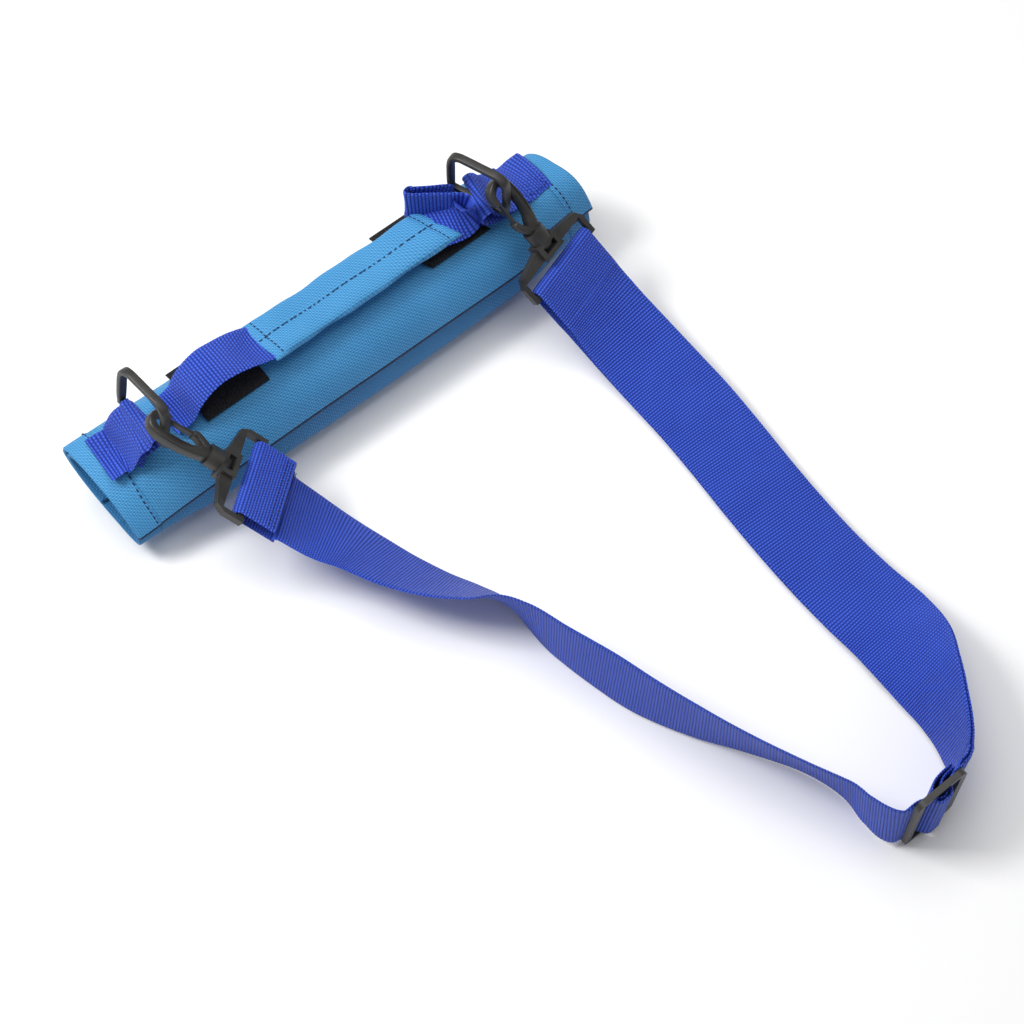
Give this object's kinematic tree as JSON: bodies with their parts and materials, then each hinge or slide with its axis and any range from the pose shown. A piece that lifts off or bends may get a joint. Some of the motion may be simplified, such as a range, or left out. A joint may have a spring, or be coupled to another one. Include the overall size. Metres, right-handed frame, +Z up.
{
  "type": "rolled carrier sling",
  "caption": "Rolled fabric carrier with ring tabs and padded carry handle, and a webbing shoulder strap clipped on by swivel snap hooks.",
  "frame": {"origin": "on the floor under the middle of the roll, on the roll's flattened underside", "axes": "+X along the roll towards the end with the twisted handle webbing, +Y away from the strap, +Z up"},
  "size_m": [0.322, 0.4575, 0.108],
  "materials": {
    "panel_fabric": "plain oxford weave",
    "webbing": "ribbed polypropylene webbing",
    "black_plastic": "moulded acetal, satin",
    "closure_tape": "hook-and-loop tape"
  },
  "bodies": {
    "root": {"roll_panel": "panel_fabric", "hem_left": "panel_fabric", "hem_right": "panel_fabric", "tab_left": "webbing", "tab_right": "webbing", "hook_body_left": "black_plastic", "hook_body_right": "black_plastic", "strap_single_run": "webbing", "strap_outer_run": "webbing", "strap_inner_run": "webbing", "handle_anchor_left": "webbing", "handle_anchor_right": "webbing", "closure_strip_left": "closure_tape", "closure_strip_right": "closure_tape"},
    "ring_left": {"ring_left": "black_plastic"},
    "ring_right": {"ring_right": "black_plastic"},
    "gate_left": {"gate_left": "black_plastic"},
    "gate_right": {"gate_right": "black_plastic"},
    "swivel_left": {"swivel_loop_left": "black_plastic", "strap_end_sewn": "webbing"},
    "swivel_right": {"swivel_loop_right": "black_plastic", "strap_turn": "webbing"},
    "slider": {"tri_glide": "black_plastic", "strap_weave": "webbing", "strap_sewn_end": "webbing"},
    "handle": {"handle_webbing": "webbing", "handle_sleeve": "panel_fabric"},
    "flap_left": {"closure_flap_left": "closure_tape"},
    "flap_right": {"closure_flap_right": "closure_tape"}
  },
  "joints": [
    {"name": "ring_left_hinge", "type": "hinge", "parent": "root", "child": "ring_left", "pos_m": [-0.127, -0.001, 0.076], "axis": [-0.0698, 0.9976, 0], "range_deg": [-1, 2]},
    {"name": "ring_right_hinge", "type": "hinge", "parent": "root", "child": "ring_right", "pos_m": [0.103, -0.003, 0.076], "axis": [0.342, -0.9397, 0], "range_deg": [-2, 1]},
    {"name": "gate_left_hinge", "type": "hinge", "parent": "root", "child": "gate_left", "pos_m": [-0.11049, -0.02553, 0.07699], "axis": [0.5074, -0.3555, 0.785], "range_deg": [0, 10], "stiffness_Nm_per_rad": 0.05},
    {"name": "gate_right_hinge", "type": "hinge", "parent": "root", "child": "gate_right", "pos_m": [0.10696, -0.03064, 0.07806], "axis": [-0.1423, 0.7236, -0.6754], "range_deg": [0, 8], "stiffness_Nm_per_rad": 0.05},
    {"name": "swivel_left_turn", "type": "hinge", "parent": "root", "child": "swivel_left", "pos_m": [-0.10836, -0.0401, 0.06901], "axis": [0.4287, -0.6861, -0.5878], "range_deg": [-6, 10]},
    {"name": "swivel_right_turn", "type": "hinge", "parent": "root", "child": "swivel_right", "pos_m": [0.11677, -0.03882, 0.06723], "axis": [0.2555, -0.6323, -0.7314], "range_deg": [-10, 10]},
    {"name": "slider_slide", "type": "slide", "parent": "root", "child": "slider", "axis": [1, 0, 0], "range_m": [-0.004, 0.001]},
    {"name": "handle_tilt", "type": "hinge", "parent": "root", "child": "handle", "pos_m": [0, 0, 0.063], "axis": [1, 0, 0], "range_deg": [-15, 15], "stiffness_Nm_per_rad": 0.1},
    {"name": "flap_left_peel", "type": "hinge", "parent": "root", "child": "flap_left", "pos_m": [-0.075, 0.0109, 0.0609], "axis": [1, 0, 0], "range_deg": [0, 40], "stiffness_Nm_per_rad": 0.02},
    {"name": "flap_right_peel", "type": "hinge", "parent": "root", "child": "flap_right", "pos_m": [0.06475, 0.0109, 0.0609], "axis": [1, 0, 0], "range_deg": [0, 40], "stiffness_Nm_per_rad": 0.02}
  ]
}
